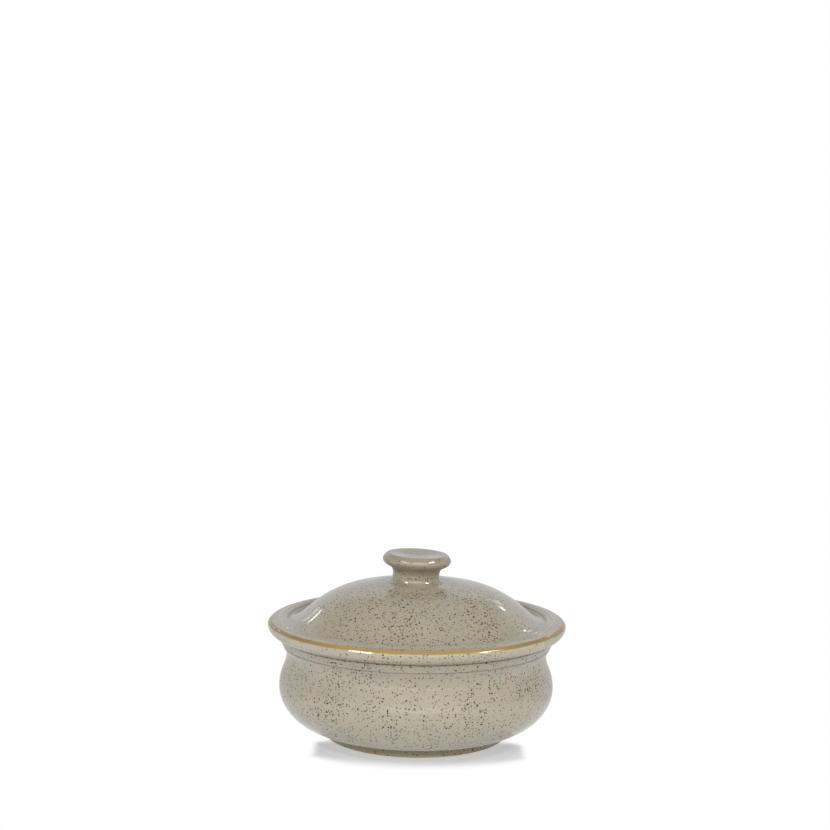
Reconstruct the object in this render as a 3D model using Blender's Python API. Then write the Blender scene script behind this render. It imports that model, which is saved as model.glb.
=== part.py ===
"""Small lidded casserole in glazed stoneware: a dish, its lift-off lid and the lid's knob."""
import math

import bmesh
import bpy

# All sizes are in millimetres and are brought to metres when a mesh is made
MM = 0.001

# Steps around the dish and lid, around the knob, along a curved stretch and along a rounded edge
BODY_STEPS = 48
KNOB_STEPS = 32
CURVE_STEPS = 5
EDGE_STEPS = 2

# Foot ring and base of the dish
FOOT_RADIUS = 41.3
FOOT_WIDTH = 4.6
FOOT_HEIGHT = 3.7
FOOT_TAPER = 1.4
FOOT_EDGE_ROUND = 0.5
BASE_RECESS = 2.0
RECESS_FILLET = 0.8
BASE_THICKNESS = 5.2

# Body of the dish, each height above the one before it
NECK_RADIUS = 59.2
BELLY_SWELL = 3.2
BELLY_RISE = 18.7
NECK_RISE = 14.1
COLLAR_SPREAD = 3.4
COLLAR_RISE = 9.5
COLLAR_FLARE = math.radians(19.5)
RIM_EDGE_ROUND = 0.6
DISH_WALL = 4.6
FLOOR_CORNER = 14.0

# Edge and flange of the lid, each width measured in from the edge
LID_SEAT_GAP = 0.3
LID_OVERHANG = 5.1
EDGE_UNDERCUT = 5.2
EDGE_DEPTH = 4.65
SHOULDER_WIDTH = 3.6
SHOULDER_RISE = 1.95
FLANGE_WIDTH = 9.3
FLANGE_FALL = 0.3
GUTTER_DIP = 0.8
RING_INSETS = (6.0, 7.8)
RING_WIDTH = 1.2
RING_RISE = 0.3

# Dome of the lid, each stretch from the one outside it
FLANK_REACH = 13.4
FLANK_RISE = 7.6
FLANK_SLOPE = 0.66
HAUNCH_REACH = 15.7
HAUNCH_RISE = 6.8
HAUNCH_SLOPE = 0.18
CROWN_RISE = 2.2
LID_WALL = 4.6

# Ring under the lid that keeps it centred in the mouth of the dish
LOCATOR_CLEARANCE = 0.8
LOCATOR_DROP = 4.0
LOCATOR_WIDTH = 4.0
LOCATOR_EDGE_ROUND = 0.6

# Knob, which was stuck on by hand a little to one side and leans
KNOB_OFFSET = 0.75
KNOB_LEAN = math.radians(2.4)
KNOB_SEAT_GAP = 0.3
KNOB_PAD_MARGIN = 1.2
KNOB_FOOT_SPREAD = 1.95
KNOB_FOOT_EDGE = 0.4
KNOB_FILLET_RISE = 2.2
KNOB_NECK_RADIUS = 10.6
KNOB_NECK_LENGTH = 1.1
KNOB_FLARE_RISE = 6.45
KNOB_CAP_RADIUS = 15.55
KNOB_LIP_RISE = 2.6
KNOB_LIP_WIDTH = 2.05
KNOB_HOLLOW = 1.1

# Share of a span over which its curve keeps to the direction of that end
FOOT_PULL = 0.68
BELLY_LOWER_PULL = 0.41
BELLY_UPPER_PULL = 0.54
NECK_LOWER_PULL = 0.32
NECK_UPPER_PULL = 0.46
RIM_PULL = 0.75
INNER_BELLY_PULL = 0.61
FLOOR_PULL = 0.5
SKIRT_PULL = 0.6
UNDERCUT_PULL = 0.3
EDGE_LOWER_PULL = 0.64
EDGE_UPPER_PULL = 0.65
SHOULDER_PULL = 0.45
KNOB_NECK_PULL = 0.66
KNOB_CAP_PULL = 0.54
KNOB_BEVEL_PULL = 0.32
KNOB_LIP_PULL = 0.30
ROUND_PULL = 0.55

# Glaze, as linear colour
GLAZE_COLOUR = (0.40, 0.36, 0.275, 1.0)
GLAZE_ROUGHNESS = 0.16

# Edges sharper than this stay sharp in the shading
SHARP_ANGLE = math.radians(50)


def between(start, end, share):
    """The point at a share of the way from start to end."""
    return tuple(a + share * (b - a) for a, b in zip(start, end))


def bezier(start, start_handle, end_handle, end, steps=CURVE_STEPS):
    """Points along a cubic curve, without its first point."""
    points = []
    for step in range(1, steps + 1):
        t = step / steps
        weights = ((1 - t) ** 3, 3 * t * (1 - t) ** 2, 3 * t * t * (1 - t), t ** 3)
        corners = (start, start_handle, end_handle, end)
        radius = sum(weight * corner[0] for weight, corner in zip(weights, corners))
        height = sum(weight * corner[1] for weight, corner in zip(weights, corners))
        points.append((radius, height))
    return points


def corner_curve(start, corner, end, start_pull, end_pull, steps=CURVE_STEPS):
    """A curve that leaves start and reaches end along the lines to their corner, without its first point."""
    return bezier(start, between(start, corner, start_pull), between(end, corner, end_pull), end, steps)


def rounded(start, corner, end):
    """A rounded corner, with both its ends."""
    return [start] + corner_curve(start, corner, end, ROUND_PULL, ROUND_PULL, EDGE_STEPS)


def upright_span(start, start_pull, end, end_pull):
    """A curve that is upright at both ends, without its first point."""
    rise = end[1] - start[1]
    start_handle = (start[0], start[1] + start_pull * rise)
    end_handle = (end[0], end[1] - end_pull * rise)
    return bezier(start, start_handle, end_handle, end)


def slope_span(start, start_slope, end, end_slope):
    """A curve that leaves start and reaches end at the given slopes, without its first point."""
    third = (end[0] - start[0]) / 3
    start_handle = (start[0] + third, start[1] + third * start_slope)
    end_handle = (end[0] - third, end[1] - third * end_slope)
    return bezier(start, start_handle, end_handle, end)


def inset(point, slope, depth):
    """The point at a depth below a surface that passes through point with the given slope."""
    angle = math.atan(slope)
    return (point[0] + depth * math.sin(angle), point[1] - depth * math.cos(angle))


def glaze(name):
    """A glossy stoneware glaze for one piece."""
    material = bpy.data.materials.new(name)
    material.use_nodes = True
    shader = material.node_tree.nodes["Principled BSDF"]
    shader.inputs["Base Color"].default_value = GLAZE_COLOUR
    shader.inputs["Roughness"].default_value = GLAZE_ROUGHNESS
    shader.inputs["Metallic"].default_value = 0.0
    material.diffuse_color = GLAZE_COLOUR
    return material


def turned(name, outline, steps, base):
    """Turn an outline that runs from the axis to the axis into a closed body with its origin at base."""
    mesh = bmesh.new()
    verts = [mesh.verts.new((radius * MM, 0.0, (height - base) * MM)) for radius, height in outline]
    edges = [mesh.edges.new(pair) for pair in zip(verts, verts[1:])]
    bmesh.ops.spin(mesh, geom=verts + edges, cent=(0, 0, 0), axis=(0, 0, 1), angle=math.tau, steps=steps)
    bmesh.ops.remove_doubles(mesh, verts=mesh.verts, dist=0.01 * MM)
    bmesh.ops.recalc_face_normals(mesh, faces=mesh.faces)
    data = bpy.data.meshes.new(name)
    mesh.to_mesh(data)
    mesh.free()
    data.shade_smooth()
    data.set_sharp_from_angle(angle=SHARP_ANGLE)
    data.materials.append(glaze(name + "_glaze"))
    piece = bpy.data.objects.new(name, data)
    piece.location = (0, 0, base * MM)
    bpy.context.scene.collection.objects.link(piece)
    return piece


def lean_over(piece, full_rise, angle):
    """Lean a piece towards +X, from nothing at its base to the whole angle at full_rise."""
    for vert in piece.data.vertices:
        x, y, z = vert.co
        share = min(1.0, z / (full_rise * MM))
        turn = angle * share * share * (3 - 2 * share)
        vert.co = (x * math.cos(turn) + z * math.sin(turn), y, z * math.cos(turn) - x * math.sin(turn))


def dish_outline(rim_height, throat):
    """From the middle of the underside, out over the foot, up the wall and down the inside."""
    foot_inner = FOOT_RADIUS - FOOT_WIDTH
    crease = (FOOT_RADIUS - FOOT_TAPER, FOOT_HEIGHT)
    belly = (NECK_RADIUS + BELLY_SWELL, FOOT_HEIGHT + BELLY_RISE)
    neck = (NECK_RADIUS, belly[1] + NECK_RISE)
    rim_radius = NECK_RADIUS + COLLAR_SPREAD
    rim = (rim_radius, rim_height - RIM_EDGE_ROUND)
    inner_belly = (belly[0] - DISH_WALL, belly[1])
    floor_edge = (inner_belly[0] - FLOOR_CORNER, BASE_RECESS + BASE_THICKNESS)

    outline = [(0.0, BASE_RECESS)]
    outline += rounded(
        (foot_inner - RECESS_FILLET, BASE_RECESS),
        (foot_inner, BASE_RECESS),
        (foot_inner, BASE_RECESS - RECESS_FILLET))
    outline += rounded(
        (foot_inner, FOOT_EDGE_ROUND), (foot_inner, 0.0), (foot_inner + FOOT_EDGE_ROUND, 0.0))
    outline += rounded(
        (FOOT_RADIUS - FOOT_EDGE_ROUND, 0.0), (FOOT_RADIUS, 0.0), (FOOT_RADIUS, FOOT_EDGE_ROUND))
    outline.append(crease)

    outline += corner_curve(
        crease, (belly[0], crease[1]), belly, FOOT_PULL, BELLY_LOWER_PULL, 2 * CURVE_STEPS)
    outline += upright_span(belly, BELLY_UPPER_PULL, neck, NECK_LOWER_PULL)
    collar_rise = rim[1] - neck[1]
    flare_drop = RIM_PULL * collar_rise
    outline += bezier(
        neck,
        (NECK_RADIUS, neck[1] + NECK_UPPER_PULL * collar_rise),
        (rim_radius - flare_drop * math.tan(COLLAR_FLARE), rim[1] - flare_drop),
        rim)

    outline += rounded(rim, (rim_radius, rim_height), (rim_radius - RIM_EDGE_ROUND, rim_height))[1:]
    outline += rounded(
        (throat + RIM_EDGE_ROUND, rim_height), (throat, rim_height), (throat, rim_height - RIM_EDGE_ROUND))
    outline.append((throat, neck[1]))
    outline += upright_span((throat, neck[1]), NECK_LOWER_PULL, inner_belly, BELLY_UPPER_PULL)
    outline += corner_curve(
        inner_belly, (inner_belly[0], floor_edge[1]), floor_edge, INNER_BELLY_PULL, FLOOR_PULL)
    outline.append((0.0, floor_edge[1]))
    return outline


def lid_outline(seat, flange_height, crown, throat):
    """From the middle of the underside, out over the locating ring and edge, and up the dome."""
    lid_radius = NECK_RADIUS + COLLAR_SPREAD + LID_OVERHANG
    locator_outer = throat - LOCATOR_CLEARANCE
    locator_inner = locator_outer - LOCATOR_WIDTH
    locator_bottom = seat - LOCATOR_DROP
    underside_end = (lid_radius - EDGE_UNDERCUT, seat)
    widest = (lid_radius, seat + EDGE_DEPTH)
    shoulder_end = (lid_radius - SHOULDER_WIDTH, widest[1] + SHOULDER_RISE)
    flange_end = (lid_radius - FLANGE_WIDTH, flange_height)
    gutter = (flange_end[0], flange_height - GUTTER_DIP)
    flank = (flange_end[0] - FLANK_REACH, flange_height + FLANK_RISE)
    haunch = (flank[0] - HAUNCH_REACH, flank[1] + HAUNCH_RISE)
    pad_radius = KNOB_NECK_RADIUS + KNOB_FOOT_SPREAD + KNOB_PAD_MARGIN
    inner_pad = (pad_radius, crown - LID_WALL)
    inner_haunch = inset(haunch, -HAUNCH_SLOPE, LID_WALL)
    inner_flank = inset(flank, -FLANK_SLOPE, LID_WALL)

    outline = [(0.0, inner_pad[1]), inner_pad]
    outline += slope_span(inner_pad, 0.0, inner_haunch, -HAUNCH_SLOPE)
    outline += slope_span(inner_haunch, -HAUNCH_SLOPE, inner_flank, -FLANK_SLOPE)
    skirt_corner = (locator_inner, inner_flank[1] - FLANK_SLOPE * (locator_inner - inner_flank[0]))
    outline += corner_curve(inner_flank, skirt_corner, (locator_inner, seat), SKIRT_PULL, SKIRT_PULL)
    outline += rounded(
        (locator_inner, locator_bottom + LOCATOR_EDGE_ROUND),
        (locator_inner, locator_bottom),
        (locator_inner + LOCATOR_EDGE_ROUND, locator_bottom))
    outline += rounded(
        (locator_outer - LOCATOR_EDGE_ROUND, locator_bottom),
        (locator_outer, locator_bottom),
        (locator_outer, locator_bottom + LOCATOR_EDGE_ROUND))
    outline += [(locator_outer, seat), underside_end]

    outline += corner_curve(underside_end, (lid_radius, seat), widest, UNDERCUT_PULL, EDGE_LOWER_PULL)
    outline += corner_curve(
        widest, (lid_radius, shoulder_end[1]), shoulder_end, EDGE_UPPER_PULL, SHOULDER_PULL)
    for ring_inset in RING_INSETS:
        for step in range(-2, 3):
            radius = lid_radius - ring_inset - RING_WIDTH * step / 4
            share = (radius - flange_end[0]) / (shoulder_end[0] - flange_end[0])
            swell = 0.5 + 0.5 * math.cos(math.pi * step / 2)
            outline.append((radius, flange_height - FLANGE_FALL * share + RING_RISE * swell))

    outline.append(gutter)
    outline += slope_span(gutter, 0.0, flank, -FLANK_SLOPE)
    outline += slope_span(flank, -FLANK_SLOPE, haunch, -HAUNCH_SLOPE)
    outline += slope_span(haunch, -HAUNCH_SLOPE, (pad_radius, crown), 0.0)
    outline.append((0.0, crown))
    return outline


def knob_outline(base):
    """From the middle of the underside, up the waist, over the cap and down into its hollow top."""
    foot_radius = KNOB_NECK_RADIUS + KNOB_FOOT_SPREAD
    foot = (foot_radius, base + KNOB_FOOT_EDGE)
    neck_start = (KNOB_NECK_RADIUS, foot[1] + KNOB_FILLET_RISE)
    neck_end = (KNOB_NECK_RADIUS, neck_start[1] + KNOB_NECK_LENGTH)
    cap = (KNOB_CAP_RADIUS, neck_end[1] + KNOB_FLARE_RISE)
    lip = (KNOB_CAP_RADIUS - KNOB_LIP_WIDTH, cap[1] + KNOB_LIP_RISE)
    bottom = (0.0, lip[1] - KNOB_HOLLOW)

    outline = [(0.0, base), (foot_radius, base), foot]
    outline += corner_curve(foot, (KNOB_NECK_RADIUS, foot[1]), neck_start, ROUND_PULL, ROUND_PULL)
    outline.append(neck_end)
    outline += upright_span(neck_end, KNOB_NECK_PULL, cap, KNOB_CAP_PULL)
    outline += corner_curve(cap, (cap[0], lip[1]), lip, KNOB_BEVEL_PULL, KNOB_LIP_PULL)
    outline += slope_span(lip, 0.0, bottom, 0.0)
    return outline


def build():
    """Model the three pieces where they stand with the lid on."""
    for old in list(bpy.data.objects):
        bpy.data.objects.remove(old)

    throat = NECK_RADIUS - DISH_WALL
    rim_height = FOOT_HEIGHT + BELLY_RISE + NECK_RISE + COLLAR_RISE
    turned("dish", dish_outline(rim_height, throat), BODY_STEPS, 0.0)

    seat = rim_height + LID_SEAT_GAP
    flange_height = seat + EDGE_DEPTH + SHOULDER_RISE + FLANGE_FALL
    crown = flange_height + FLANK_RISE + HAUNCH_RISE + CROWN_RISE
    lid = turned("lid", lid_outline(seat, flange_height, crown, throat), BODY_STEPS, seat)

    knob_base = crown + KNOB_SEAT_GAP
    knob = turned("lid_knob", knob_outline(knob_base), KNOB_STEPS, knob_base)
    lean_over(knob, KNOB_FOOT_EDGE + KNOB_FILLET_RISE + KNOB_NECK_LENGTH, KNOB_LEAN)
    knob.parent = lid
    knob.location = (-KNOB_OFFSET * MM, 0, (knob_base - seat) * MM)


build()
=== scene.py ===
"""Small lidded casserole in speckled glazed stoneware, on a white floor under soft studio light."""
import math

import bmesh
import bpy
from mathutils import Matrix, Vector


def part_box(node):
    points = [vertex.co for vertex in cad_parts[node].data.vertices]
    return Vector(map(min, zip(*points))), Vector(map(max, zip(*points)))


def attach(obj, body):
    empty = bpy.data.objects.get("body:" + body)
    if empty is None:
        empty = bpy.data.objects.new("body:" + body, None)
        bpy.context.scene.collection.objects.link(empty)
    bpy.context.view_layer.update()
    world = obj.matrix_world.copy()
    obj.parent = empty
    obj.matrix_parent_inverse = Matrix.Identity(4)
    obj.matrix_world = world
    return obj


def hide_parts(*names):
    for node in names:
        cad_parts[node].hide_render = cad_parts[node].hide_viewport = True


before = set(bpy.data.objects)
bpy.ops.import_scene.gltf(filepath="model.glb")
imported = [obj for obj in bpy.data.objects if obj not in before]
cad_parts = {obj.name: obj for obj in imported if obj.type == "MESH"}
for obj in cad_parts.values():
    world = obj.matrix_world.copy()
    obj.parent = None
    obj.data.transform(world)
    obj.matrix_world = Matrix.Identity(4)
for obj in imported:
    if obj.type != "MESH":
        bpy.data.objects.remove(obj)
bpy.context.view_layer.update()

# Outlines and the places of marks in the glaze are worked out in millimetres, as the solids are
MM = 0.001

# Steps around a turned skin and along its curved stretches, rounded edges and rings
AROUND_STEPS = 192
CURVE_STEPS = 14
BELLY_STEPS = 28
COLLAR_STEPS = 84
EDGE_STEPS = 6
RING_STEPS = 8

# Points of a skin that lie closer than this are made one, which closes its seam
MERGE_DISTANCE = 0.004

# Dish
FOOT_RADIUS = 41.3
FOOT_WIDTH = 4.6
FOOT_HEIGHT = 3.7
FOOT_TAPER = 1.4
FOOT_EDGE_ROUND = 0.5
BASE_RECESS = 2.0
RECESS_FILLET = 0.8
BASE_THICKNESS = 5.2
NECK_RADIUS = 59.2
BELLY_SWELL = 3.2
BELLY_RISE = 18.7
NECK_RISE = 14.1
COLLAR_SPREAD = 3.4
COLLAR_FLARE = math.radians(19.5)
RIM_EDGE_ROUND = 0.6
DISH_WALL = 4.6
FLOOR_CORNER = 14.0

# Faint crease that a tool left around the collar
CREASE_DROP = 4.0
CREASE_WIDTH = 0.5
CREASE_DEPTH = 0.30

# Edge and flange of the lid, whose glaze laps down over the rim of the dish
LAP_DROP = 0.10
LAP_CLEARANCE = 0.2
EDGE_DEPTH = 4.65
BEVEL_INSET = 0.10
BEVEL_START = 0.42
BEVEL_WIDTH = 0.29
BEVEL_RISE = 0.43
CREST_WIDTH = 2.4
SHOULDER_WIDTH = 3.6
SHOULDER_RISE = 1.95
FLANGE_WIDTH = 9.3
FLANGE_FALL = 0.3
GUTTER_DIP = 0.8
RING_INSETS = (5.7, 7.9)
RING_WIDTH = 1.9
RING_RISE = 0.40

# Dome of the lid and the ring under it
FLANK_REACH = 13.4
FLANK_RISE = 7.6
FLANK_SLOPE = 0.66
HAUNCH_REACH = 15.7
HAUNCH_RISE = 6.8
HAUNCH_SLOPE = 0.18
LID_WALL = 4.6
LOCATOR_CLEARANCE = 0.8
LOCATOR_DROP = 4.0
LOCATOR_WIDTH = 4.0
LOCATOR_EDGE_ROUND = 0.6

# Knob, which the glaze joins to the crown without a seam, a little to one side
KNOB_OFFSET = 0.75
KNOB_LEAN = math.radians(2.4)
KNOB_SINK = 0.05
KNOB_PAD_RADIUS = 13.75
KNOB_FOOT_SPREAD = 2.6
KNOB_FILLET_RISE = 2.9
KNOB_NECK_RADIUS = 10.6
KNOB_NECK_LENGTH = 1.1
KNOB_FLARE_RISE = 6.45
KNOB_CAP_RADIUS = 15.55
KNOB_LIP_RISE = 2.6
KNOB_LIP_WIDTH = 2.05
KNOB_HOLLOW = 1.1

# Share of a span over which its curve keeps to the direction of that end
FOOT_PULL = 0.68
BELLY_LOWER_PULL = 0.41
BELLY_UPPER_PULL = 0.54
NECK_LOWER_PULL = 0.32
NECK_UPPER_PULL = 0.46
RIM_PULL = 0.75
INNER_BELLY_PULL = 0.61
FLOOR_PULL = 0.5
SKIRT_PULL = 0.6
UNDERCUT_PULL = 0.3
EDGE_LOWER_PULL = 0.64
KNOB_NECK_PULL = 0.66
KNOB_CAP_PULL = 0.54
KNOB_BEVEL_PULL = 0.24
KNOB_LIP_PULL = 0.26
ROUND_PULL = 0.55


def between(start, end, share):
    """The point at a share of the way from start to end."""
    return tuple(a + share * (b - a) for a, b in zip(start, end))


def bezier(start, start_handle, end_handle, end, steps=CURVE_STEPS):
    """Points along a cubic curve, without its first point."""
    points = []
    for step in range(1, steps + 1):
        t = step / steps
        weights = ((1 - t) ** 3, 3 * t * (1 - t) ** 2, 3 * t * t * (1 - t), t ** 3)
        corners = (start, start_handle, end_handle, end)
        radius = sum(weight * corner[0] for weight, corner in zip(weights, corners))
        height = sum(weight * corner[1] for weight, corner in zip(weights, corners))
        points.append((radius, height))
    return points


def straight(start, end, steps):
    """Points along a line, without its first point."""
    return [between(start, end, step / steps) for step in range(1, steps + 1)]


def corner_curve(start, corner, end, start_pull, end_pull, steps=CURVE_STEPS):
    """A curve that leaves start and reaches end along the lines to their corner, without its first point."""
    return bezier(start, between(start, corner, start_pull), between(end, corner, end_pull), end, steps)


def rounded(start, corner, end):
    """A rounded corner, with both its ends."""
    return [start] + corner_curve(start, corner, end, ROUND_PULL, ROUND_PULL, EDGE_STEPS)


def upright_span(start, start_pull, end, end_pull):
    """A curve that is upright at both ends, without its first point."""
    rise = end[1] - start[1]
    start_handle = (start[0], start[1] + start_pull * rise)
    end_handle = (end[0], end[1] - end_pull * rise)
    return bezier(start, start_handle, end_handle, end)


def slope_span(start, start_slope, end, end_slope):
    """A curve that leaves start and reaches end at the given slopes, without its first point."""
    third = (end[0] - start[0]) / 3
    start_handle = (start[0] + third, start[1] + third * start_slope)
    end_handle = (end[0] - third, end[1] - third * end_slope)
    return bezier(start, start_handle, end_handle, end)


def inset(point, slope, depth):
    """The point at a depth below a surface that passes through point with the given slope."""
    angle = math.atan(slope)
    return (point[0] + depth * math.sin(angle), point[1] - depth * math.cos(angle))


def turned(name, outline):
    """Turn an outline that runs from the axis to the axis into a smooth closed skin."""
    mesh = bmesh.new()
    verts = [mesh.verts.new((radius * MM, 0.0, height * MM)) for radius, height in outline]
    edges = [mesh.edges.new(pair) for pair in zip(verts, verts[1:])]
    bmesh.ops.spin(
        mesh, geom=verts + edges, cent=(0, 0, 0), axis=(0, 0, 1), angle=math.tau, steps=AROUND_STEPS)
    bmesh.ops.remove_doubles(mesh, verts=mesh.verts, dist=MERGE_DISTANCE * MM)
    bmesh.ops.recalc_face_normals(mesh, faces=mesh.faces)
    data = bpy.data.meshes.new(name)
    mesh.to_mesh(data)
    mesh.free()
    data.shade_smooth()
    piece = bpy.data.objects.new(name, data)
    bpy.context.scene.collection.objects.link(piece)
    return piece


def foot_outline():
    """From the middle of the underside, under the foot ring and up its outer side."""
    foot_inner = FOOT_RADIUS - FOOT_WIDTH
    foot_top = (FOOT_RADIUS - FOOT_TAPER, FOOT_HEIGHT)
    outline = [(0.0, BASE_RECESS)]
    outline += straight(outline[-1], (foot_inner - RECESS_FILLET, BASE_RECESS), CURVE_STEPS)
    outline += rounded(
        outline[-1], (foot_inner, BASE_RECESS), (foot_inner, BASE_RECESS - RECESS_FILLET))[1:]
    outline += rounded(
        (foot_inner, FOOT_EDGE_ROUND), (foot_inner, 0.0), (foot_inner + FOOT_EDGE_ROUND, 0.0))
    outline += rounded(
        (FOOT_RADIUS - FOOT_EDGE_ROUND, 0.0), (FOOT_RADIUS, 0.0), (FOOT_RADIUS, FOOT_EDGE_ROUND))
    outline += straight(outline[-1], foot_top, EDGE_STEPS)
    return outline


def creased_collar(neck, rim, rim_height):
    """The collar's flare from the neck to the rim, with its crease, without its first point."""
    collar_rise = rim[1] - neck[1]
    flare_drop = RIM_PULL * collar_rise
    flare = bezier(
        neck,
        (neck[0], neck[1] + NECK_UPPER_PULL * collar_rise),
        (rim[0] - flare_drop * math.tan(COLLAR_FLARE), rim[1] - flare_drop),
        rim,
        COLLAR_STEPS)
    outline = []
    for radius, height in flare:
        away = min(1.0, abs(height - rim_height + CREASE_DROP) / CREASE_WIDTH)
        dent = CREASE_DEPTH * (0.5 + 0.5 * math.cos(math.pi * away))
        outline.append((radius - dent, height))
    return outline


def dish_outline(rim_height):
    """From the middle of the underside, out over the foot, up the wall and down the inside."""
    throat = NECK_RADIUS - DISH_WALL
    belly = (NECK_RADIUS + BELLY_SWELL, FOOT_HEIGHT + BELLY_RISE)
    neck = (NECK_RADIUS, belly[1] + NECK_RISE)
    rim_radius = NECK_RADIUS + COLLAR_SPREAD
    rim = (rim_radius, rim_height - RIM_EDGE_ROUND)
    inner_belly = (belly[0] - DISH_WALL, belly[1])
    floor_edge = (inner_belly[0] - FLOOR_CORNER, BASE_RECESS + BASE_THICKNESS)

    outline = foot_outline()
    outline += corner_curve(
        outline[-1], (belly[0], outline[-1][1]), belly, FOOT_PULL, BELLY_LOWER_PULL, BELLY_STEPS)
    outline += upright_span(belly, BELLY_UPPER_PULL, neck, NECK_LOWER_PULL)
    outline += creased_collar(neck, rim, rim_height)
    outline += rounded(rim, (rim_radius, rim_height), (rim_radius - RIM_EDGE_ROUND, rim_height))[1:]
    outline += straight(outline[-1], (throat + RIM_EDGE_ROUND, rim_height), EDGE_STEPS)
    outline += rounded(outline[-1], (throat, rim_height), (throat, rim_height - RIM_EDGE_ROUND))[1:]
    outline += straight(outline[-1], (throat, neck[1]), EDGE_STEPS)
    outline += upright_span(outline[-1], NECK_LOWER_PULL, inner_belly, BELLY_UPPER_PULL)
    outline += corner_curve(
        inner_belly, (inner_belly[0], floor_edge[1]), floor_edge, INNER_BELLY_PULL, FLOOR_PULL)
    outline += straight(floor_edge, (0.0, floor_edge[1]), CURVE_STEPS)
    return outline


def lid_underside(seat, crown, flank, haunch):
    """From the middle of the underside, down under the dome and around the locating ring to its seat."""
    locator_outer = NECK_RADIUS - DISH_WALL - LOCATOR_CLEARANCE
    locator_inner = locator_outer - LOCATOR_WIDTH
    locator_bottom = seat - LOCATOR_DROP
    inner_pad = (KNOB_PAD_RADIUS, crown - LID_WALL)
    inner_haunch = inset(haunch, -HAUNCH_SLOPE, LID_WALL)
    inner_flank = inset(flank, -FLANK_SLOPE, LID_WALL)
    skirt_corner = (locator_inner, inner_flank[1] - FLANK_SLOPE * (locator_inner - inner_flank[0]))

    outline = [(0.0, inner_pad[1])]
    outline += straight(outline[-1], inner_pad, EDGE_STEPS)
    outline += slope_span(inner_pad, 0.0, inner_haunch, -HAUNCH_SLOPE)
    outline += slope_span(inner_haunch, -HAUNCH_SLOPE, inner_flank, -FLANK_SLOPE)
    outline += corner_curve(inner_flank, skirt_corner, (locator_inner, seat), SKIRT_PULL, SKIRT_PULL)
    outline += rounded(
        (locator_inner, locator_bottom + LOCATOR_EDGE_ROUND),
        (locator_inner, locator_bottom),
        (locator_inner + LOCATOR_EDGE_ROUND, locator_bottom))
    outline += rounded(
        (locator_outer - LOCATOR_EDGE_ROUND, locator_bottom),
        (locator_outer, locator_bottom),
        (locator_outer, locator_bottom + LOCATOR_EDGE_ROUND))
    outline.append((locator_outer, seat))
    return outline


def lid_edge(lap_start, widest, shoulder_end):
    """From the lap over the rim, around the rounded edge and its bevel, to the end of the shoulder."""
    lap_end = (lap_start[0], lap_start[1] - LAP_DROP)
    bevel_low = (widest[0] - BEVEL_INSET, widest[1] + BEVEL_START)
    bevel_high = (bevel_low[0] - BEVEL_WIDTH, bevel_low[1] + BEVEL_RISE)
    bevel_slope = BEVEL_WIDTH / BEVEL_RISE
    crest = (widest[0] - CREST_WIDTH, shoulder_end[1])
    low_corner = (widest[0], bevel_low[1] - BEVEL_INSET / bevel_slope)
    high_corner = (bevel_high[0] - bevel_slope * (crest[1] - bevel_high[1]), crest[1])

    outline = [lap_end]
    outline += corner_curve(lap_end, (widest[0], lap_end[1]), widest, UNDERCUT_PULL, EDGE_LOWER_PULL)
    outline += rounded(widest, low_corner, bevel_low)[1:]
    outline += straight(bevel_low, bevel_high, EDGE_STEPS)
    outline += corner_curve(bevel_high, high_corner, crest, ROUND_PULL, ROUND_PULL)
    outline.append(shoulder_end)
    return outline


def flange_rings(lid_radius, shoulder_end, flange_end):
    """Low rings on the flange, which rises a little from the shoulder to its inner end."""
    outline = []
    for ring_inset in RING_INSETS:
        for step in range(-RING_STEPS, RING_STEPS + 1):
            turn = step / RING_STEPS
            radius = lid_radius - ring_inset - 0.5 * RING_WIDTH * turn
            share = (radius - flange_end[0]) / (shoulder_end[0] - flange_end[0])
            swell = 0.5 + 0.5 * math.cos(math.pi * turn)
            outline.append((radius, flange_end[1] - FLANGE_FALL * share + RING_RISE * swell))
    return outline


def lid_outline(seat, crown, lid_radius):
    """From the middle of the underside, out over the locating ring and edge, and up the dome."""
    lap_start = (NECK_RADIUS + COLLAR_SPREAD + LAP_CLEARANCE, seat)
    widest = (lid_radius, seat + EDGE_DEPTH)
    shoulder_end = (lid_radius - SHOULDER_WIDTH, widest[1] + SHOULDER_RISE)
    flange_end = (lid_radius - FLANGE_WIDTH, shoulder_end[1] + FLANGE_FALL)
    gutter = (flange_end[0], flange_end[1] - GUTTER_DIP)
    flank = (flange_end[0] - FLANK_REACH, flange_end[1] + FLANK_RISE)
    haunch = (flank[0] - HAUNCH_REACH, flank[1] + HAUNCH_RISE)

    outline = lid_underside(seat, crown, flank, haunch)
    outline += straight(outline[-1], lap_start, EDGE_STEPS)
    outline += lid_edge(lap_start, widest, shoulder_end)
    outline += flange_rings(lid_radius, shoulder_end, flange_end)
    outline.append(gutter)
    outline += slope_span(gutter, 0.0, flank, -FLANK_SLOPE)
    outline += slope_span(flank, -FLANK_SLOPE, haunch, -HAUNCH_SLOPE)
    outline += slope_span(haunch, -HAUNCH_SLOPE, (KNOB_PAD_RADIUS, crown), 0.0)
    outline += straight(outline[-1], (0.0, crown), EDGE_STEPS)
    return outline


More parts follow.
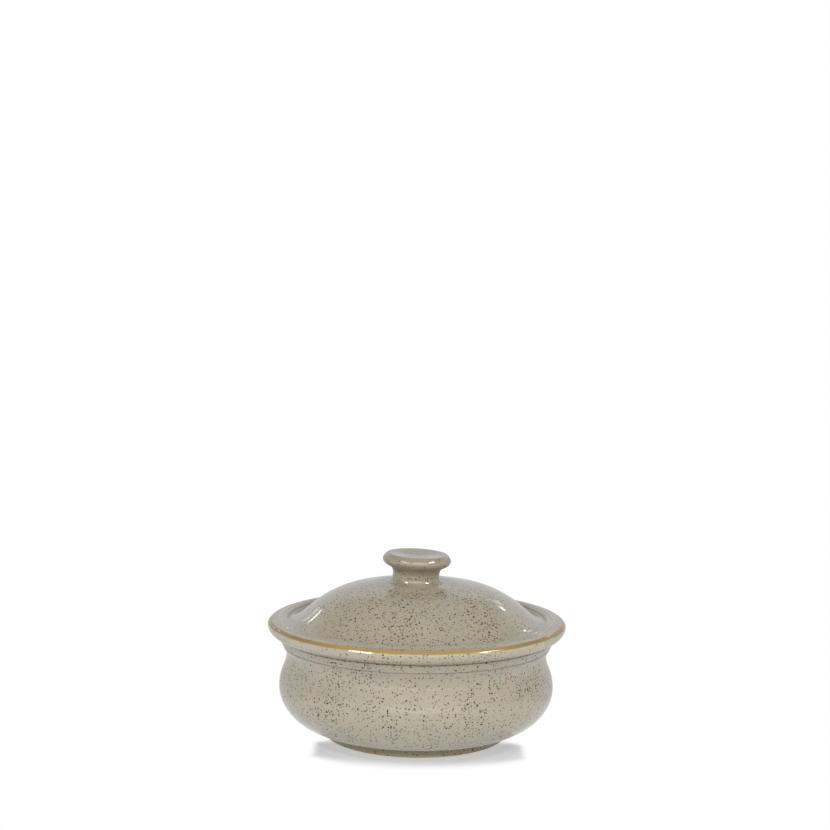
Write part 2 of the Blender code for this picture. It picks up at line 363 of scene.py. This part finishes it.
def knob_outline(crown):
    """From the middle of the underside, up the waist, over the cap and down into its hollow top."""
    foot = (KNOB_NECK_RADIUS + KNOB_FOOT_SPREAD, crown)
    neck_start = (KNOB_NECK_RADIUS, foot[1] + KNOB_FILLET_RISE)
    neck_end = (KNOB_NECK_RADIUS, neck_start[1] + KNOB_NECK_LENGTH)
    cap = (KNOB_CAP_RADIUS, neck_end[1] + KNOB_FLARE_RISE)
    lip = (KNOB_CAP_RADIUS - KNOB_LIP_WIDTH, cap[1] + KNOB_LIP_RISE)
    bottom = (0.0, lip[1] - KNOB_HOLLOW)

    outline = [(0.0, crown - KNOB_SINK), (foot[0], crown - KNOB_SINK), foot]
    outline += corner_curve(foot, (KNOB_NECK_RADIUS, foot[1]), neck_start, ROUND_PULL, ROUND_PULL)
    outline += straight(neck_start, neck_end, EDGE_STEPS)
    outline += upright_span(neck_end, KNOB_NECK_PULL, cap, KNOB_CAP_PULL)
    outline += corner_curve(cap, (cap[0], lip[1]), lip, KNOB_BEVEL_PULL, KNOB_LIP_PULL)
    outline += slope_span(lip, 0.0, bottom, 0.0)
    return outline


def lean_over(piece, base, full_rise, angle, offset):
    """Move a piece towards -X and lean it towards +X, with the whole angle at full_rise above its base."""
    for vert in piece.data.vertices:
        x, y, z = vert.co
        rise = z - base * MM
        share = min(1.0, max(0.0, rise / (full_rise * MM)))
        turn = angle * share * share * (3 - 2 * share)
        lean_x = x * math.cos(turn) + rise * math.sin(turn)
        lean_z = rise * math.cos(turn) - x * math.sin(turn)
        vert.co = (lean_x - offset * MM, y, base * MM + lean_z)


# Glaze colours, as linear values
GLAZE_BASE = (0.407, 0.362, 0.269, 1.0)
GLAZE_WARM = (0.422, 0.366, 0.268, 1.0)
GLAZE_GREEN = (0.380, 0.356, 0.268, 1.0)
# Painted shade: a darker, browner colour laid over the whole knob for the shade under its cap
KNOB_PAINTED_SHADE = (0.275, 0.226, 0.135, 1.0)
SPECK_DARK = (0.028, 0.016, 0.002, 1.0)
SPECK_BROWN = (0.130, 0.082, 0.010, 1.0)
AMBER = (0.430, 0.275, 0.066, 1.0)
AMBER_DEEP = (0.285, 0.185, 0.030, 1.0)
# Painted light: a pale colour for a painted reflection over the dish's foot and a band of painted light under
# the lid's amber line
PAINTED_EDGE_LIGHT = (0.480, 0.425, 0.320, 1.0)
# Painted shade: a dark colour for the shade in the collar's crease and in the lid's gutter
PAINTED_SHADE = (0.200, 0.170, 0.115, 1.0)
FOOT_BROWN = (0.400, 0.330, 0.206, 1.0)
BARE_CLAY = (0.480, 0.400, 0.290, 1.0)

# Noises in the glaze, each with how fine it is, per metre, and its detail
WOBBLE_NOISE = (900.0, 1.0)
DRIFT_NOISE = (70.0, 3.0)
TINT_NOISE = (110.0, 4.0)
GLOSS_NOISE = (260.0, 2.0)
WAVER_NOISE = (140.0, 2.0)
SWELL_NOISE = (30.0, 1.0)
PEEL_NOISE = (420.0, 2.0)
TURNING_NOISE = (200.0, 1.0)

# Mean of a noise, and the part of its values over which what follows it goes from one end to the other
NOISE_MEAN = (0.5, 0.5, 0.5)
NOISE_SPAN = (0.3, 0.7)
TINT_SPAN = (0.38, 0.62)

# Gloss: roughness of the glaze, what a dark speck adds to it, and the specular level of glaze and speck
GLAZE_IOR = 1.75
ROUGHNESS = (0.05, 0.09)
SPECK_ROUGHNESS = 0.12
GLOSS_LEVEL = (0.5, 0.1)

# Relief, in millimetres: slow swell of the glaze, its orange peel, traces of turning, dents at dark specks
SWELL_HEIGHT = 0.08
PEEL_HEIGHT = 0.006
TURNING_HEIGHT = 0.025
SPECK_DENT = 0.01

# Specks of three sizes: spacing, radius and a shift that keeps one size from lining up with another
FINE_SPECKS = (1.05, 0.28, 31.0)
MIDDLE_SPECKS = (1.26, 0.395, 67.0)
LARGE_SPECKS = (1.88, 0.490, 113.0)
SHIFT_DIRECTION = (1.0, 0.7, 1.3)

# Specks: least size and strength, fully dark core and cover as shares, and how far their outlines wobble
SPECK_LEAST = 0.55
SPECK_FAINTEST = 0.66
SPECK_CORE = 0.9
SPECK_WOBBLE = 0.7
FINE_SHARE = 0.7
DARK_SHARE = 0.95

# How far the tints cover the base colour, and how crowded the specks are from patch to patch
TINT_SHARE = 0.6
DRIFT_CROWD = (0.80, 1.12)


class Graph:
    """Adds nodes to a material or a world and links them."""

    def __init__(self, owner):
        owner.use_nodes = True
        self.tree = owner.node_tree
        self.tree.nodes.clear()

    def node(self, kind, settings=None, **inputs):
        made = self.tree.nodes.new(kind)
        for key, value in (settings or {}).items():
            setattr(made, key, value)
        for key, value in inputs.items():
            self.feed(made.inputs[key.replace("_", " ")], value)
        return made

    def feed(self, socket, value):
        if isinstance(value, bpy.types.NodeSocket):
            self.tree.links.new(value, socket)
        else:
            socket.default_value = value

    def maths(self, operation, first, second=0.0):
        made = self.node("ShaderNodeMath", {"operation": operation})
        self.feed(made.inputs[0], first)
        self.feed(made.inputs[1], second)
        return made.outputs[0]

    def plus(self, first, second):
        return self.maths("ADD", first, second)

    def less(self, first, second):
        return self.maths("SUBTRACT", first, second)

    def times(self, first, second):
        return self.maths("MULTIPLY", first, second)

    def apart(self, first, second):
        return self.maths("ABSOLUTE", self.less(first, second))

    def vector(self, operation, first, second=(0.0, 0.0, 0.0)):
        made = self.node("ShaderNodeVectorMath", {"operation": operation})
        self.feed(made.inputs[0], first)
        self.feed(made.inputs[1], second)
        return made.outputs["Vector"]

    def length(self, first):
        made = self.node("ShaderNodeVectorMath", {"operation": "LENGTH"})
        self.feed(made.inputs[0], first)
        return made.outputs["Value"]

    def ramp(self, value, low, high, at_low=0.0, at_high=1.0):
        made = self.node("ShaderNodeMapRange", {"interpolation_type": "SMOOTHSTEP"})
        self.feed(made.inputs["Value"], value)
        self.feed(made.inputs["From Min"], low)
        self.feed(made.inputs["From Max"], high)
        self.feed(made.inputs["To Min"], at_low)
        self.feed(made.inputs["To Max"], at_high)
        return made.outputs["Result"]

    def mix(self, share, first, second):
        made = self.node("ShaderNodeMix", {"data_type": "RGBA"})
        self.feed(made.inputs["Factor"], share)
        self.feed(made.inputs[6], first)
        self.feed(made.inputs[7], second)
        return made.outputs[2]

    def noise(self, coords, scale, detail):
        return self.node("ShaderNodeTexNoise", Vector=coords, Scale=scale, Detail=detail)


class Glaze(Graph):
    """Speckled gloss glaze of one piece, whose own marks are painted under and over the specks."""

    def __init__(self, name):
        self.material = bpy.data.materials.new(name)
        super().__init__(self.material)
        self.place = self.node("ShaderNodeTexCoord").outputs["Object"]
        self.find_places()
        self.crowd = self.uneven(DRIFT_NOISE, NOISE_SPAN, *DRIFT_CROWD)
        tinted = self.mix(self.uneven(TINT_NOISE, TINT_SPAN), GLAZE_GREEN, GLAZE_WARM)
        self.colour = self.mix(TINT_SHARE, GLAZE_BASE, tinted)
        self.roughness = self.uneven(GLOSS_NOISE, NOISE_SPAN, *ROUGHNESS)
        self.relief = 0.0
        self.raise_by(self.noise(self.place, *SWELL_NOISE).outputs["Fac"], SWELL_HEIGHT)
        self.raise_by(self.noise(self.place, *PEEL_NOISE).outputs["Fac"], PEEL_HEIGHT)
        upright = self.vector("MULTIPLY", self.place, (0.0, 0.0, 1.0))
        self.raise_by(self.noise(upright, *TURNING_NOISE).outputs["Fac"], TURNING_HEIGHT)

    def find_places(self):
        """Where a point of the surface lies, in millimetres."""
        in_millimetres = self.vector("DIVIDE", self.place, (MM, MM, MM))
        split = self.node("ShaderNodeSeparateXYZ", Vector=in_millimetres)
        self.to_right = split.outputs["X"]
        self.to_back = split.outputs["Y"]
        self.height = split.outputs["Z"]
        self.radius = self.length(self.vector("MULTIPLY", in_millimetres, (1.0, 1.0, 0.0)))

    def uneven(self, noise, span, at_low=0.0, at_high=1.0):
        """A value that wanders between two ends over the surface."""
        return self.ramp(self.noise(self.place, *noise).outputs["Fac"], *span, at_low, at_high)

    def paint(self, share, colour):
        """Cover a share of the colour so far."""
        self.colour = self.mix(share, self.colour, colour)

    def crowd_by(self, share):
        """Make the specks that follow larger and more, or smaller and fewer."""
        self.crowd = self.times(self.crowd, share)

    def roughen(self, share, roughness):
        """Add a share of a roughness."""
        self.roughness = self.plus(self.roughness, self.times(share, roughness))

    def raise_by(self, share, height):
        """Add a share of a height in millimetres to the relief."""
        self.relief = self.plus(self.relief, self.times(share, height * MM))

    def specks(self, coords, spacing, radius, shift):
        """How dark the specks of one size are."""
        shift_by = tuple(shift * MM * part for part in SHIFT_DIRECTION)
        moved = self.vector("ADD", coords, shift_by)
        cells = self.node("ShaderNodeTexVoronoi", Vector=moved, Scale=1.0 / (spacing * MM))
        own = self.node("ShaderNodeSeparateColor", Color=cells.outputs["Color"])
        reach = self.times(self.ramp(own.outputs["Red"], 0.0, 1.0, SPECK_LEAST, 1.0), self.crowd)
        outer = self.times(reach, radius / spacing)
        inner = self.times(outer, SPECK_CORE)
        dot = self.ramp(cells.outputs["Distance"], inner, outer, 1.0, 0.0)
        return self.times(dot, self.ramp(own.outputs["Green"], 0.0, 1.0, SPECK_FAINTEST, 1.0))

    def add_specks(self):
        """Lay brown and dark specks over the colour so far, the dark ones duller than the glaze."""
        wobble = self.noise(self.place, *WOBBLE_NOISE).outputs["Color"]
        wobble = self.vector("SUBTRACT", wobble, NOISE_MEAN)
        wobble = self.vector("MULTIPLY", wobble, (SPECK_WOBBLE * MM,) * 3)
        coords = self.vector("ADD", self.place, wobble)
        fine = self.specks(coords, *FINE_SPECKS)
        middle = self.specks(coords, *MIDDLE_SPECKS)
        large = self.specks(coords, *LARGE_SPECKS)
        self.dark = self.maths("MAXIMUM", middle, large)
        self.paint(self.times(fine, FINE_SHARE), SPECK_BROWN)
        self.paint(self.times(self.dark, DARK_SHARE), SPECK_DARK)
        self.roughen(self.dark, SPECK_ROUGHNESS)
        self.raise_by(self.dark, -SPECK_DENT)

    def finished(self):
        """The material, with its colour, gloss and relief as they now are."""
        bump = self.node("ShaderNodeBump", Strength=1.0, Distance=1.0, Height=self.relief)
        shader = self.node(
            "ShaderNodeBsdfPrincipled",
            Base_Color=self.colour,
            Roughness=self.roughness,
            IOR=GLAZE_IOR,
            Specular_IOR_Level=self.ramp(self.dark, 0.0, 1.0, *GLOSS_LEVEL),
            Normal=bump.outputs["Normal"])
        output = self.node("ShaderNodeOutputMaterial")
        self.feed(output.inputs["Surface"], shader.outputs["BSDF"])
        return self.material


# Marks on the dish: brown foot, a painted reflection of the lit floor on the turn over it, painted shade in
# the crease, bare foot face
BROWN_FADE = (-0.2, 0.1)
FOOT_REFLECTION_FADE = (0.1, 0.9)
RECESS_FADE = 0.5
CREASE_SHADE_REACH = (0.1, 0.45)
CREASE_SHADE_SHARE = 0.6
OUTER_FACE = (2.0, 1.0)
BARE_FADE = (0.1, 0.35)
BARE_ROUGHNESS = 0.55


def dish_glaze(rim_height):
    """Glaze with a brown foot, a painted reflection over it, a bare foot face and painted shade in the
    collar's crease.
    """
    glaze = Glaze("dish_glaze")
    foot_inner = FOOT_RADIUS - FOOT_WIDTH
    past_recess = glaze.ramp(glaze.radius, foot_inner - RECESS_FADE, foot_inner)
    over_foot = glaze.less(glaze.height, FOOT_HEIGHT)
    on_foot = glaze.ramp(over_foot, *BROWN_FADE, 1.0, 0.0)
    glaze.paint(glaze.times(on_foot, past_recess), FOOT_BROWN)
    # Painted reflection: a pale band just over the foot stands in for the lit floor mirrored in the belly's
    # lowest turn
    foot_reflection = glaze.times(glaze.ramp(over_foot, *FOOT_REFLECTION_FADE, 1.0, 0.0), glaze.less(1.0, on_foot))
    glaze.paint(glaze.times(foot_reflection, past_recess), PAINTED_EDGE_LIGHT)
    glaze.add_specks()

    # Painted shade: the collar's crease is darkened where shade falls in it
    from_crease = glaze.apart(glaze.height, rim_height - CREASE_DROP)
    crease_shade = glaze.ramp(from_crease, *CREASE_SHADE_REACH, CREASE_SHADE_SHARE, 0.0)
    outer_face = glaze.ramp(glaze.radius, NECK_RADIUS - OUTER_FACE[0], NECK_RADIUS - OUTER_FACE[1])
    glaze.paint(glaze.times(crease_shade, outer_face), PAINTED_SHADE)
    bare = glaze.times(glaze.ramp(glaze.height, *BARE_FADE, 1.0, 0.0), past_recess)
    glaze.paint(bare, BARE_CLAY)
    glaze.roughen(bare, BARE_ROUGHNESS)
    return glaze.finished()


# How crowded the lid's specks are on its flange, edge and sides, and from front over crown to back
FLANGE_FADE = 1.0
FLANGE_CROWD = 0.72
EDGE_CROWD = 0.84
SIDE_REACH = (32.0, 46.0)
SIDE_CROWD = 0.74
CROWN_REACH = (-20.0, 6.0)
CROWN_CROWD = (1.14, 0.66)
BACK_REACH = (12.0, 24.0)

# Painted shade in the lid's gutter, where the dome shades it
GUTTER_SHADE_SHIFT = 0.3
GUTTER_SHADE_REACH = (0.1, 0.7)
GUTTER_SHADE_SHARE = 0.7

# Amber line on the lid's edge, whose sides are given as radius less height, and the band of painted light
# under it, where the lower edge catches the light
AMBER_UPPER = 12.62
AMBER_LOWER = 16.05
AMBER_UPPER_FADE = 0.8
AMBER_LOWER_FADE = 0.5
AMBER_WAVER = 0.2
AMBER_LIFT = 0.2
AMBER_BOTTOM_FADE = 0.2
AMBER_SHARE = 0.95
AMBER_SIDES = (28.0, 58.0)
PAINTED_LIGHT_SHARE = 0.8


def lid_glaze(seat, lid_radius):
    """Glaze with fewer specks on the flange, sides and crown, painted shade in the gutter, an amber edge and
    painted light under it.
    """
    glaze = Glaze("lid_glaze")
    gutter = lid_radius - FLANGE_WIDTH
    shoulder = lid_radius - SHOULDER_WIDTH
    to_side = glaze.maths("ABSOLUTE", glaze.to_right)
    past_gutter = glaze.ramp(glaze.radius, gutter - FLANGE_FADE, gutter + FLANGE_FADE)
    before_shoulder = glaze.ramp(glaze.radius, shoulder - FLANGE_FADE, shoulder, 1.0, 0.0)
    on_flange = glaze.times(past_gutter, before_shoulder)
    glaze.crowd_by(glaze.ramp(on_flange, 0.0, 1.0, 1.0, FLANGE_CROWD))
    # Painted reflection: fewer specks at the left and right sides stand in for the reflection that veils them
    # when seen from the front
    glaze.crowd_by(glaze.ramp(to_side, *SIDE_REACH, 1.0, SIDE_CROWD))
    to_crown = glaze.ramp(glaze.to_back, *CROWN_REACH, *CROWN_CROWD)
    past_crown = glaze.ramp(glaze.to_back, *BACK_REACH)
    glaze.crowd_by(glaze.maths("MAXIMUM", to_crown, past_crown))
    glaze.crowd_by(glaze.ramp(glaze.radius, shoulder, shoulder + FLANGE_FADE, 1.0, EDGE_CROWD))
    # Painted shade: the gutter is darkened where the dome shades it
    from_gutter_shade = glaze.apart(glaze.radius, gutter + GUTTER_SHADE_SHIFT)
    glaze.paint(glaze.ramp(from_gutter_shade, *GUTTER_SHADE_REACH, GUTTER_SHADE_SHARE, 0.0), PAINTED_SHADE)
    glaze.add_specks()

    amber_bottom = seat + EDGE_DEPTH + AMBER_LIFT
    waver = glaze.uneven(WAVER_NOISE, NOISE_SPAN, -AMBER_WAVER, AMBER_WAVER)
    along = glaze.plus(glaze.less(glaze.radius, glaze.height), waver)
    inside = glaze.ramp(along, AMBER_UPPER, AMBER_UPPER + AMBER_UPPER_FADE)
    outside = glaze.ramp(along, AMBER_LOWER - AMBER_LOWER_FADE, AMBER_LOWER, 1.0, 0.0)
    over_bottom = glaze.ramp(glaze.height, amber_bottom, amber_bottom + AMBER_BOTTOM_FADE)
    band = glaze.times(glaze.times(inside, outside), over_bottom)
    # Painted light: a pale band under the amber, on the lower edge where it catches the light
    painted_light_band = glaze.times(glaze.less(1.0, outside), glaze.ramp(glaze.height, seat, amber_bottom))
    painted_light_band = glaze.times(painted_light_band, glaze.less(1.0, glaze.dark))
    glaze.paint(glaze.times(painted_light_band, PAINTED_LIGHT_SHARE), PAINTED_EDGE_LIGHT)
    amber = glaze.mix(glaze.ramp(to_side, *AMBER_SIDES), AMBER, AMBER_DEEP)
    glaze.paint(glaze.times(band, AMBER_SHARE), amber)
    return glaze.finished()


# Marks on the knob: fewer specks on its top, painted shade that darkens all of it, and ripples around its
# neck
CAP_FADE = 1.5
CAP_CROWD = (0.8, 0.5)
KNOB_SHADE_SHARE = 0.55
RIPPLE_LENGTH = 2.2
RIPPLE_HEIGHT = 0.04
RIPPLE_FADE = (10.5, 9.0)


def knob_glaze(knob_top):
    """Glaze darkened all over by painted shade, with fewer specks on top and a rippled neck."""
    glaze = Glaze("knob_glaze")
    glaze.crowd_by(glaze.ramp(glaze.height, knob_top - CAP_FADE, knob_top, *CAP_CROWD))
    # Painted shade over the whole knob
    glaze.paint(KNOB_SHADE_SHARE, KNOB_PAINTED_SHADE)
    glaze.add_specks()
    wave = glaze.maths("SINE", glaze.times(glaze.height, math.tau / RIPPLE_LENGTH))
    on_neck = glaze.ramp(glaze.height, knob_top - RIPPLE_FADE[0], knob_top - RIPPLE_FADE[1], 1.0, 0.0)
    glaze.raise_by(glaze.times(wave, on_neck), RIPPLE_HEIGHT)
    return glaze.finished()


def dress(piece, material, node, body):
    """Give a skin its glaze, let it stand for its CAD node and move with that node's body."""
    piece.data.materials.append(material)
    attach(piece, body)
    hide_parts(node)


rim_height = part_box("dish")[1][2] / MM
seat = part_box("lid")[0][2] / MM + LOCATOR_DROP
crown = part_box("lid")[1][2] / MM
lid_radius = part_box("lid")[1][0] / MM

dish = turned("dish_skin", dish_outline(rim_height))
dress(dish, dish_glaze(rim_height), "dish", "dish")

lid = turned("lid_skin", lid_outline(seat, crown, lid_radius))
dress(lid, lid_glaze(seat, lid_radius), "lid", "lid")

knob = turned("knob_skin", knob_outline(crown))
lean_over(knob, crown, KNOB_FILLET_RISE + KNOB_NECK_LENGTH, KNOB_LEAN, KNOB_OFFSET)
knob_top = crown + KNOB_FILLET_RISE + KNOB_NECK_LENGTH + KNOB_FLARE_RISE + KNOB_LIP_RISE
dress(knob, knob_glaze(knob_top), "lid_knob", "lid")


# Strength at which the floor and the room are seen as white
SEEN_WHITE = 1.0

# White floor: width in metres, drop under the foot, colour, and how bright its far side is when mirrored
FLOOR_SIZE = 12.0
FLOOR_DROP = 0.1
FLOOR_ALBEDO = (0.900, 0.922, 0.972, 1.0)
FAR_MIRRORED = 0.67
FAR_REACH = (-20.0, 80.0)

# Oval in front of the foot in which the floor keeps the dish's shadow, and the glow that softens it there
SHADOW_FRONT = 30.0
SHADOW_SHIFT = 1.4
SHADOW_SIDES = (43.2, 48.4)
SHADOW_DEPTH = 32.0
SHADOW_TAPER = 51.0
SHADOW_FADE = 0.45
LEAST_TAPER = 0.01
LIFT_REACH = (41.0, 55.0)
FLOOR_LIFT = 0.35
OUTER_LIFT = 0.03


def seen_directly(graph):
    """One for the rays that show the stage itself: straight to the camera, mirrored or through glass."""
    rays = graph.node("ShaderNodeLightPath")
    shown = graph.maths("MAXIMUM", rays.outputs["Is Camera Ray"], rays.outputs["Is Glossy Ray"])
    return graph.maths("MAXIMUM", shown, rays.outputs["Is Transmission Ray"])


def outside_shadow(graph, to_right, to_back):
    """Rises from zero in the oval that keeps the shadow to one around it."""
    to_side = graph.apart(to_right, SHADOW_SHIFT * MM)
    from_middle = graph.maths("ABSOLUTE", graph.plus(to_back, SHADOW_FRONT * MM))
    taper = graph.maths("POWER", graph.maths("DIVIDE", to_side, SHADOW_TAPER * MM), 2.0)
    taper = graph.maths("SQRT", graph.maths("MAXIMUM", graph.less(1.0, taper), LEAST_TAPER))
    depth = graph.maths("DIVIDE", from_middle, graph.times(taper, SHADOW_DEPTH * MM))
    past_side = graph.ramp(to_side, SHADOW_SIDES[0] * MM, SHADOW_SIDES[1] * MM)
    return graph.maths("MAXIMUM", past_side, graph.ramp(depth, SHADOW_FADE, 1.0))


def floor_material():
    """Plain white paper that keeps a shadow under the dish and is seen as pure white further out."""
    material = bpy.data.materials.new("white_floor")
    graph = Graph(material)
    place = graph.node("ShaderNodeTexCoord").outputs["Object"]
    split = graph.node("ShaderNodeSeparateXYZ", Vector=place)
    to_back = split.outputs["Y"]
    shown = seen_directly(graph)

    lift = graph.ramp(graph.length(place), LIFT_REACH[0] * MM, LIFT_REACH[1] * MM, FLOOR_LIFT, OUTER_LIFT)
    diffuse = graph.node("ShaderNodeBsdfDiffuse", Color=FLOOR_ALBEDO)
    glow = graph.node("ShaderNodeEmission", Strength=graph.times(shown, lift))
    paper = graph.node("ShaderNodeAddShader")
    graph.feed(paper.inputs[0], diffuse.outputs[0])
    graph.feed(paper.inputs[1], glow.outputs[0])

    mirrored = graph.ramp(to_back, FAR_REACH[0] * MM, FAR_REACH[1] * MM, SEEN_WHITE, FAR_MIRRORED)
    to_camera = graph.node("ShaderNodeLightPath").outputs["Is Camera Ray"]
    white = graph.node("ShaderNodeEmission", Strength=graph.ramp(to_camera, 0.0, 1.0, mirrored, SEEN_WHITE))
    both = graph.node("ShaderNodeMixShader")
    graph.feed(both.inputs[0], graph.times(outside_shadow(graph, split.outputs["X"], to_back), shown))
    graph.feed(both.inputs[1], paper.outputs[0])
    graph.feed(both.inputs[2], white.outputs[0])
    output = graph.node("ShaderNodeOutputMaterial")
    graph.feed(output.inputs["Surface"], both.outputs[0])
    return material


floor_mesh = bmesh.new()
bmesh.ops.create_grid(floor_mesh, x_segments=1, y_segments=1, size=0.5 * FLOOR_SIZE)
floor_data = bpy.data.meshes.new("floor")
floor_mesh.to_mesh(floor_data)
floor_mesh.free()
floor_data.materials.append(floor_material())
floor = bpy.data.objects.new("floor", floor_data)
floor.location = (0, 0, -FLOOR_DROP * MM)
bpy.context.scene.collection.objects.link(floor)


# Room: how bright each wall is at its foot, half-way up and at its top, and how bright the ceiling is
FRONT_WALL = (1.85, 1.02, 3.20)
RIGHT_WALL = (0.46, 0.76, 0.13)
LEFT_WALL = (0.62, 0.66, 0.07)
BACKDROP = (0.72, 0.62, 0.33)
CEILING = 0.22
BACKDROP_TINT = (0.97, 1.0, 1.07, 1.0)
WHITE = (1.0, 1.0, 1.0, 1.0)

# Sines of the elevations between which one height of the room passes into the next
MIDDLE_RISE = (0.12, 0.30)
TOP_RISE = (0.45, 0.62)
CEILING_RISE = (0.72, 0.88)


def studio_world():
    """A room with a pale backdrop behind the dish, a lit wall in front of it and a dim ceiling."""
    world = bpy.data.worlds.new("studio")
    graph = Graph(world)
    direction = graph.node("ShaderNodeTexCoord").outputs["Generated"]
    rise = graph.node("ShaderNodeSeparateXYZ", Vector=direction).outputs["Z"]
    level = graph.vector("NORMALIZE", graph.vector("MULTIPLY", direction, (1.0, 1.0, 0.0)))
    parts = graph.node("ShaderNodeSeparateXYZ", Vector=level)
    to_right = parts.outputs["X"]
    to_back = parts.outputs["Y"]
    sides = (
        (to_back, -1.0, FRONT_WALL),
        (to_right, 1.0, RIGHT_WALL),
        (to_right, -1.0, LEFT_WALL),
        (to_back, 1.0, BACKDROP))
    heights = [0.0, 0.0, 0.0]
    for along, sign, wall in sides:
        facing = graph.maths("MAXIMUM", graph.times(along, sign), 0.0)
        share = graph.times(facing, facing)
        for step, brightness in enumerate(wall):
            heights[step] = graph.plus(heights[step], graph.times(share, brightness))
    strength = graph.ramp(rise, *MIDDLE_RISE, heights[0], heights[1])
    strength = graph.ramp(rise, *TOP_RISE, strength, heights[2])
    strength = graph.ramp(rise, *CEILING_RISE, strength, CEILING)
    to_camera = graph.node("ShaderNodeLightPath").outputs["Is Camera Ray"]
    strength = graph.ramp(to_camera, 0.0, 1.0, strength, SEEN_WHITE)
    behind = graph.maths("MAXIMUM", graph.less(to_back, to_camera), 0.0)
    colour = graph.mix(behind, WHITE, BACKDROP_TINT)
    light = graph.node("ShaderNodeBackground", Color=colour, Strength=strength)
    output = graph.node("ShaderNodeOutputWorld")
    graph.feed(output.inputs["Surface"], light.outputs[0])
    return world


bpy.context.scene.world = studio_world()


# Lamps aim at this height, and a lamp's power is this many times its brightness and area
LAMP_AIM = 50.0
POWER_SHARE = 4.0


def lamp(name, azimuth, elevation, distance, width, height, brightness):
    """A flat lamp that faces the lid; azimuth 0 is at the camera and grows to the viewer's right."""
    around = math.radians(azimuth)
    up = math.radians(elevation)
    offset = Vector((math.sin(around) * math.cos(up), -math.cos(around) * math.cos(up), math.sin(up)))
    data = bpy.data.lights.new(name, "AREA")
    data.shape = "RECTANGLE"
    data.size = width
    data.size_y = height
    data.energy = POWER_SHARE * brightness * width * height
    made = bpy.data.objects.new(name, data)
    made.location = Vector((0.0, 0.0, LAMP_AIM * MM)) + distance * offset
    made.rotation_euler = offset.to_track_quat("Z", "Y").to_euler()
    bpy.context.scene.collection.objects.link(made)


# Two main lamps in front, and behind the dish two small ones at each side that glint in the dome
lamp("lamp_left", azimuth=-52, elevation=47, distance=1.10, width=0.27, height=0.14, brightness=10.5)
lamp("lamp_right", azimuth=70, elevation=47, distance=1.10, width=0.31, height=0.15, brightness=9.9)
lamp("back_left", azimuth=-145.7, elevation=22.5, distance=1.01, width=0.075, height=0.020, brightness=4.0)
lamp("back_left_low", azimuth=-150.8, elevation=17.2, distance=1.01, width=0.09, height=0.030, brightness=1.1)
lamp("back_right", azimuth=150.0, elevation=28.2, distance=1.01, width=0.055, height=0.028, brightness=4.5)
lamp("back_right_low", azimuth=156.5, elevation=24.7, distance=1.01, width=0.07, height=0.060, brightness=0.8)


# Camera: its place and clipping in metres, its turns in degrees, lens and sensor in millimetres
CAMERA_DISTANCE = 0.7763
CAMERA_HEIGHT = 0.21787
CAMERA_SIDE = -0.00208
CAMERA_TILT = 5.294
CAMERA_ROLL = 0.767
CAMERA_LENS = 74.99
SENSOR_WIDTH = 36.0
CLIP_START = 0.01
CLIP_END = 100.0

camera_data = bpy.data.cameras.new("camera")
camera_data.sensor_fit = "HORIZONTAL"
camera_data.sensor_width = SENSOR_WIDTH
camera_data.lens = CAMERA_LENS
camera_data.clip_start = CLIP_START
camera_data.clip_end = CLIP_END
camera = bpy.data.objects.new("camera", camera_data)
camera.matrix_world = (
    Matrix.Translation((CAMERA_SIDE, -CAMERA_DISTANCE, CAMERA_HEIGHT))
    @ Matrix.Rotation(math.radians(90.0 - CAMERA_TILT), 4, "X")
    @ Matrix.Rotation(math.radians(CAMERA_ROLL), 4, "Z"))
bpy.context.scene.collection.objects.link(camera)
bpy.context.scene.camera = camera
bpy.context.scene.view_settings.view_transform = "Standard"
